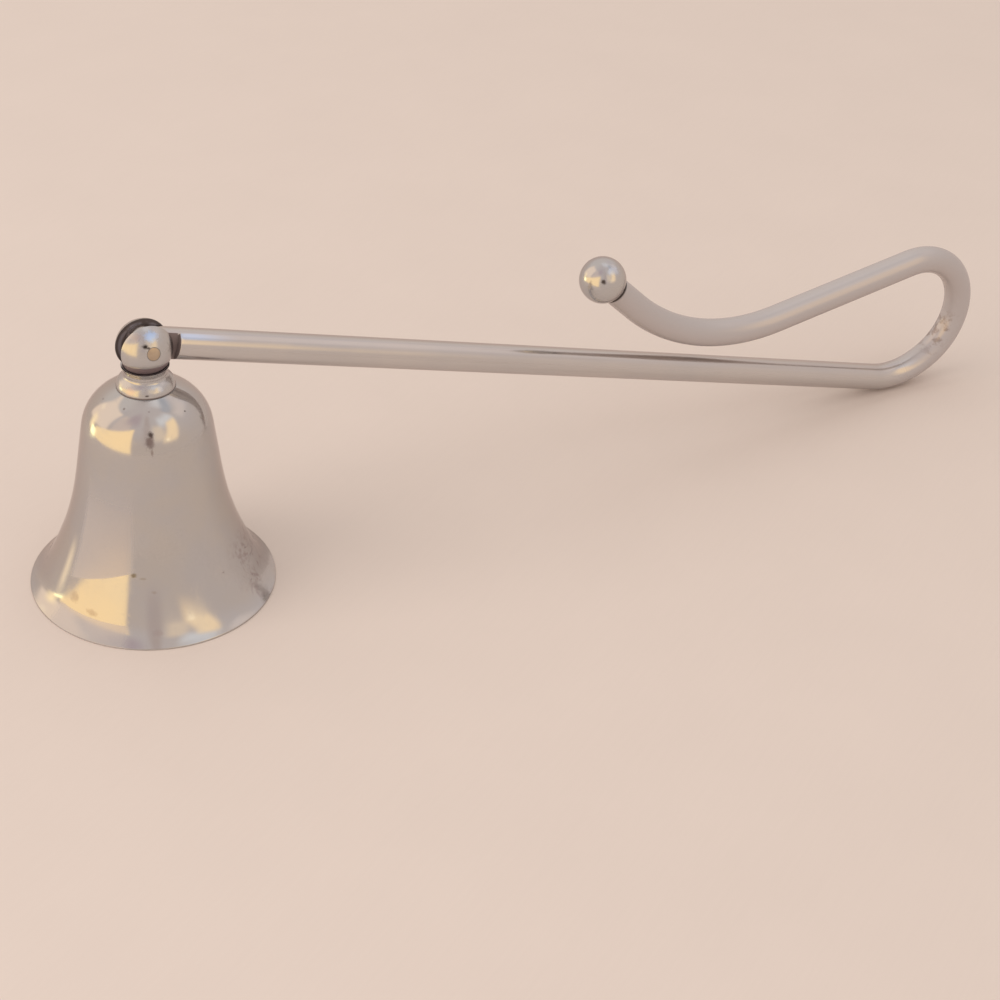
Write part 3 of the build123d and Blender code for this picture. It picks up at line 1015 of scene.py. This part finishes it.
# The tongue and the rod are two closed surfaces, and the rod's end hides the tongue's front. Both carry their
# unbent place, in metres, for the material. The return and the tail have been rubbed duller than the shank,
# and there is dirt at the end ball.
def buildHandle():
    tongue = tongueGrid()
    rod, unbent = rodGrid()
    grids = [(tongue, True, True), (rod, False, True)]
    attributes = [("unbent", [(tongue - [0, 0, pinHeight]) * mm, unbent])]
    pits = pitLayer(rodMarks["pitSize"], rodMarks["pitShare"])
    end = pathLength(rodSteps)
    rubbed = bandLayer(alongRod, *rodMarks["rubbedAlong"], rodMarks["rubbed"])
    tipGrime = bandLayer(alongRod, end - 0.5, end - 0.15, grimeLook)
    layers = [drawnLines, rubbed, paintedBlueHighlight, bendRust, pits, tipGrime, tonguePatina]
    material = plateMaterial("rodPlate", rodLook, layers, coordinates="unbent")
    addPiece("handleRod", grids, material, "handle", "handle_rod", attributes)


# End ball

endBallShape = dict(radius=4.85, footRadius=2.6, holeRadius=1.6, holeDepth=4.4, edgeBlur=0.25, around=128)
endBallLook = dict(plateLook, roughness=0.18, hazeRoughness=0.05)
# Painted reflections on the end ball: the camera's dark reflection and a bluish highlight.
endBallPaintedReflections = [
    ((96.2, -3.93, 47.12), 0.75, 1.0, (0.045, 0.032, 0.028), 0.9),
    ((98.9, -3.2, 48.8), 1.7, 0.8, (0.62, 0.69, 0.82), 0.6),
]


# The end of the rod's centreline, and the way that it points there.
def rodTip():
    tip, heading = walkPath((0, 0), 0, rodSteps, np.array([pathLength(rodSteps)]))
    origin = onHandle(tip[0, 0], 0.0, tip[0, 1])
    ahead = onHandle(tip[0, 0] + math.cos(heading[0]), 0.0, tip[0, 1] + math.sin(heading[0]))
    return origin, ahead - origin


# A sphere cut flat where the rod meets it, with a blind hole for the rod's spigot, turned about the way that
# the rod ends. Dirt lies round its foot: everything within a short reach of the end of the rod.
def buildEndBall():
    e = endBallShape
    reach = math.sqrt(e["radius"] ** 2 - e["footRadius"] ** 2)
    footAngle = math.acos(-reach / e["radius"])
    angle = np.linspace(0, footAngle, 160)
    ball = np.stack([e["radius"] * np.sin(angle), reach + e["radius"] * np.cos(angle)], 1)
    hole = [(e["holeRadius"], 0), (e["holeRadius"], e["holeDepth"]), (0, e["holeDepth"])]
    profile = softPoleOutline(np.vstack([ball, hole]), e["edgeBlur"], maxStep=0.3, maxTurn=3.5)
    origin, axis = rodTip()
    grids = [(turned(profile, e["around"], origin, axis), False, True)]
    foot = e["footRadius"]
    grime = bandLayer(lambda place: distanceFrom(place, origin), foot + 0.75, foot + 0.25, grimeLook)
    material = plateMaterial("endBallPlate", endBallLook, [*stainAndPaintedLightLayers(endBallPaintedReflections), grime])
    addPiece("endBall", grids, material, "handle", "end_ball")


# Washer and nut inside the bell

fixingShape = dict(washerRadius=3.5, boreRadius=1.6, edgeBlur=0.16, around=96)
nutShape = dict(width=5.5, bore=1.5, around=240, chamfer=0.05, chamferSlope=1.7)
steelLook = dict(
    plateLook,
    plate=(0.42, 0.41, 0.39), tint=(0.37, 0.365, 0.36), tintScale=300.0, roughness=0.32,
    hazeRoughness=0.15, hazeScale=500.0, hairlineScale=2600.0, hairlineDepth=0.4, peelDepth=0.006,
    film=0.6, filmScale=500.0,
)


# A flat ring with softened edges.
def buildWasher():
    f = fixingShape
    low, high = (corner.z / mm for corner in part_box("crown_washer"))
    outer, inner = f["washerRadius"], f["boreRadius"]
    ring = np.array([(outer, low), (outer, high), (inner, high), (inner, low)])
    profile = softOutline(ring, f["edgeBlur"], maxStep=0.3, maxTurn=12.0)
    grids = [(turned(profile, f["around"]), True, True)]
    material = plateMaterial("washerSteel", steelLook)
    addPiece("crownWasher", grids, material, "bell", "crown_washer")


# The nut's radius is the smaller of a hexagon's and of a cone's that chamfers its lower corners.
def buildNut():
    n = nutShape
    low, high = (corner.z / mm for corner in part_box("crown_nut"))
    angle = roundAngles(n["around"])
    apothem = n["width"] / 2
    hexagon = apothem / np.cos((angle + math.pi / 6) % (math.pi / 3) - math.pi / 6)
    height = np.r_[np.linspace(0, 0.5, 8), np.linspace(0.6, high - low, 10)][:, None]
    cone = apothem - n["chamfer"] + height * n["chamferSlope"]
    bore = np.full((1, n["around"]), n["bore"])
    rows = np.concatenate([bore, np.minimum(hexagon, cone), bore])
    levels = np.concatenate([height[:1], height, height[-1:]]) + low
    grids = [(gridOf(rows * np.cos(angle), rows * np.sin(angle), levels), True, True)]
    material = plateMaterial("nutSteel", steelLook)
    addPiece("crownNut", grids, material, "bell", "crown_nut", crease=25.0)


for build in (buildBell, buildCollar, buildBall, buildPin, buildHandle, buildEndBall, buildWasher, buildNut):
    build()


# Floor, light and camera

floorLook = dict(
    size=4.0,
    sink=0.02,  # millimetres below the object
    color=(0.745, 0.604, 0.521), nearEdge=130.0, farEdge=300.0, mottle=0.02, mottleScale=38.0,
    weave=0.012, weaveScale=1500.0, weaveTurn=-0.54,
)


# A pale cloth with a faint weave and mottle. Reflections see it only near the object: further out they pass
# through it to the surroundings that the light draws, which carry on in the same colour.
def buildFloor():
    f = floorLook
    half = f["size"] / 2
    corners = [(-half, -half, 0), (half, -half, 0), (half, half, 0), (-half, half, 0)]
    mesh = bpy.data.meshes.new("floor")
    mesh.from_pydata(corners, [], [(0, 1, 2, 3)])
    floor = bpy.data.objects.new("floor", mesh)
    floor.location.z = -f["sink"] * mm
    bpy.context.scene.collection.objects.link(floor)
    material = bpy.data.materials.new("floorCloth")
    tree = newTree(material)
    place = addNode("ShaderNodeTexCoord", tree=tree).outputs["Object"]
    threads = mapped(mapped(place, Rotation=(0, 0, f["weaveTurn"])), Scale=(0.06, 1.0, 1.0))
    evened = 1 - f["mottle"] - f["weave"]
    shade = calc("MULTIPLY_ADD", noise(place, f["mottleScale"], 3.0), 2 * f["mottle"], evened)
    level = calc("MULTIPLY_ADD", noise(threads, f["weaveScale"], 2.0), 2 * f["weave"], shade)
    color = addNode("ShaderNodeVectorMath", {"operation": "SCALE"}, i0=f["color"], Scale=level)
    cloth = addNode("ShaderNodeBsdfPrincipled", Base_Color=color.outputs[0], Roughness=0.95)
    setSocket(cloth, "Specular IOR Level", 0.0)
    beyond = smoothBand(distanceFrom(place, (0, 0, 0)), f["nearEdge"], f["farEdge"], mm)
    reflected = addNode("ShaderNodeLightPath", tree=tree).outputs["Is Glossy Ray"]
    clear = addNode("ShaderNodeBsdfTransparent", tree=tree)
    share = product(beyond, reflected)
    both = addNode("ShaderNodeMixShader", Fac=share, i1=cloth.outputs[0], i2=clear.outputs[0])
    addNode("ShaderNodeOutputMaterial", Surface=both.outputs[0])
    mesh.materials.append(material)


# What polished metal sees round it, in degrees: azimuth counts from +X towards +Y, and elevation from level.
# Each patch runs from one azimuth to another, and gives the elevations of its lower and upper edges at both,
# how soft its edges are, its colour and how much it leans. Later patches lie over earlier ones.
roomLook = dict(
    cloth=(0.745, 0.61, 0.525), ceiling=(0.76, 0.66, 0.62), evenLight=0.865,
    patches=[
        ((25, 150), (24, 24), (72, 72), 9, (0.84, 0.74, 0.67), 0.0),
        ((0, 48), (36, 36), (62, 62), 8, (0.80, 0.70, 0.67), 0.0),
        ((-10, 80), (62, 62), (84, 84), 8, (0.98, 0.92, 0.90), 0.0),
        ((-24, 20), (38, 38), (54, 54), 6, (0.94, 0.80, 0.73), 0.0),
        ((-185, -150), (18, 30), (60, 62), 4, (0.92, 0.74, 0.64), 0.0),
        ((-168, -132), (50, 50), (76, 76), 10, (0.66, 0.53, 0.53), 0.0),
        ((-240, -192), (2, 14), (50, 57), 3, (1.27, 1.0, 0.79), 0.0),
        ((-213, -139), (-9, -14), (6, 43), 2, (1.60, 1.15, 0.64), 0.0),
        ((-229, -219), (-6, -6), (14, 14), 6, (1.75, 1.35, 0.82), 0.0),
        ((-222, -211), (-17, -17), (1, 1), 2, (3.0, 2.7, 1.4), 0.0),
        ((-237, -228), (24, 24), (31, 31), 2, (1.4, 1.12, 0.85), 0.0),
        ((-118, -104), (8, 8), (76, 76), 5, (0.66, 0.535, 0.485), 0.0),
        ((-99, -76), (18, 18), (50, 50), 7, (1.05, 0.84, 0.65), 0.0),
        ((-80, -34), (46, 50), (66, 66), 8, (0.98, 0.94, 0.93), 0.0),
        ((-90, -64), (12, 12), (51, 51), 5, (1.42, 1.06, 0.68), 0.55),
        ((-78, -71), (14, 14), (19, 19), 1.5, (1.75, 1.4, 0.95), 0.0),
        ((-28, 12), (60, 60), (72, 72), 5, (0.60, 0.59, 0.62), 0.0),
    ],
)


# A soft-edged window: 1 inside its azimuths and between two edges that rise or fall evenly with the azimuth.
# A window that leans has its azimuths at level, and they shift evenly with the elevation.
def windowMask(azimuth, elevation, span, low, high, soft, lean=0.0):
    (left, right), soft = span, soft * degree
    middle = calc("MULTIPLY_ADD", elevation, lean, (left + right) / 2 * degree)
    aside = calc("WRAP", calc("SUBTRACT", azimuth, middle), math.pi, -math.pi)
    edges = []
    for first, last in (low, high):
        slant = (last - first) / (right - left)
        edges.append(calc("MULTIPLY_ADD", aside, slant, (first + last) / 2 * degree))
    within = calc("SUBTRACT", (right - left) / 2 * degree, calc("ABSOLUTE", aside))
    above, below = calc("SUBTRACT", elevation, edges[0]), calc("SUBTRACT", edges[1], elevation)
    return product(*[smoothBand(value, -soft, soft) for value in (within, above, below)])


# The metal and the camera see the painted surroundings, and everything else gets one even white light.
def buildRoom():
    world = bpy.data.worlds.new("room")
    bpy.context.scene.world = world
    tree = newTree(world)
    x, y, z = splitPlace(addNode("ShaderNodeTexCoord", tree=tree).outputs["Generated"])
    azimuth = calc("ARCTAN2", y, x)
    elevation = calc("ARCSINE", z)
    color = mixColors(smoothBand(elevation, 0.0, 0.9), roomLook["cloth"], roomLook["ceiling"])
    for *window, patchColor, lean in roomLook["patches"]:
        color = mixColors(windowMask(azimuth, elevation, *window, lean), color, patchColor)
    path = addNode("ShaderNodeLightPath", tree=tree).outputs
    seen = calc("MAXIMUM", path["Is Camera Ray"], path["Is Glossy Ray"])
    final = mixColors(seen, (roomLook["evenLight"],) * 3, color)
    background = addNode("ShaderNodeBackground", Color=final, Strength=1.0)
    addNode("ShaderNodeOutputWorld", Surface=background.outputs[0])


# One large soft lamp at the warm window's side, which reflections don't show.
lampLook = dict(azimuth=178.0, distance=0.85, height=0.55, size=0.7, color=(1.0, 0.97, 0.93), strength=0.2)


# The lamp's power follows from what it adds to the floor, by its distance squared and its slant.
def buildLamp():
    p = lampLook
    light = bpy.data.lights.new("softLamp", "AREA")
    light.shape = "SQUARE"
    light.size = p["size"]
    light.color = p["color"]
    reach = math.hypot(p["distance"], p["height"])
    fall = p["height"] / reach
    # strength is the share of full white that the lamp adds on the floor under the bell
    light.energy = p["strength"] * math.pi**2 * reach**2 / fall
    lamp = bpy.data.objects.new("softLamp", light)
    bpy.context.scene.collection.objects.link(lamp)
    a = math.radians(p["azimuth"])
    lamp.location = (p["distance"] * math.cos(a), p["distance"] * math.sin(a), p["height"])
    lamp.rotation_euler = (0, math.atan2(p["distance"], p["height"]), a)
    lamp.visible_camera = False
    lamp.visible_glossy = False


cameraView = dict(
    place=(-0.10837, -0.30841, 0.24316), tilt=34.436, heading=-31.133, roll=4.183, lens=73.533,
)


# The camera is tilted down from level, turned about +Z and rolled about its own axis.
def buildCamera():
    v = cameraView
    camera = bpy.data.objects.new("camera", bpy.data.cameras.new("camera"))
    bpy.context.scene.collection.objects.link(camera)
    camera.data.lens = v["lens"]
    camera.data.sensor_width = 36.0
    camera.data.clip_start = 0.01
    turn = Matrix()
    for axis, angle in (("Z", v["heading"]), ("X", 90 - v["tilt"]), ("Z", v["roll"])):
        turn = turn @ Matrix.Rotation(math.radians(angle), 4, axis)
    camera.matrix_world = Matrix.Translation(v["place"]) @ turn
    bpy.context.scene.camera = camera


buildFloor()
buildRoom()
buildLamp()
buildCamera()
bpy.context.scene.view_settings.view_transform = "Standard"
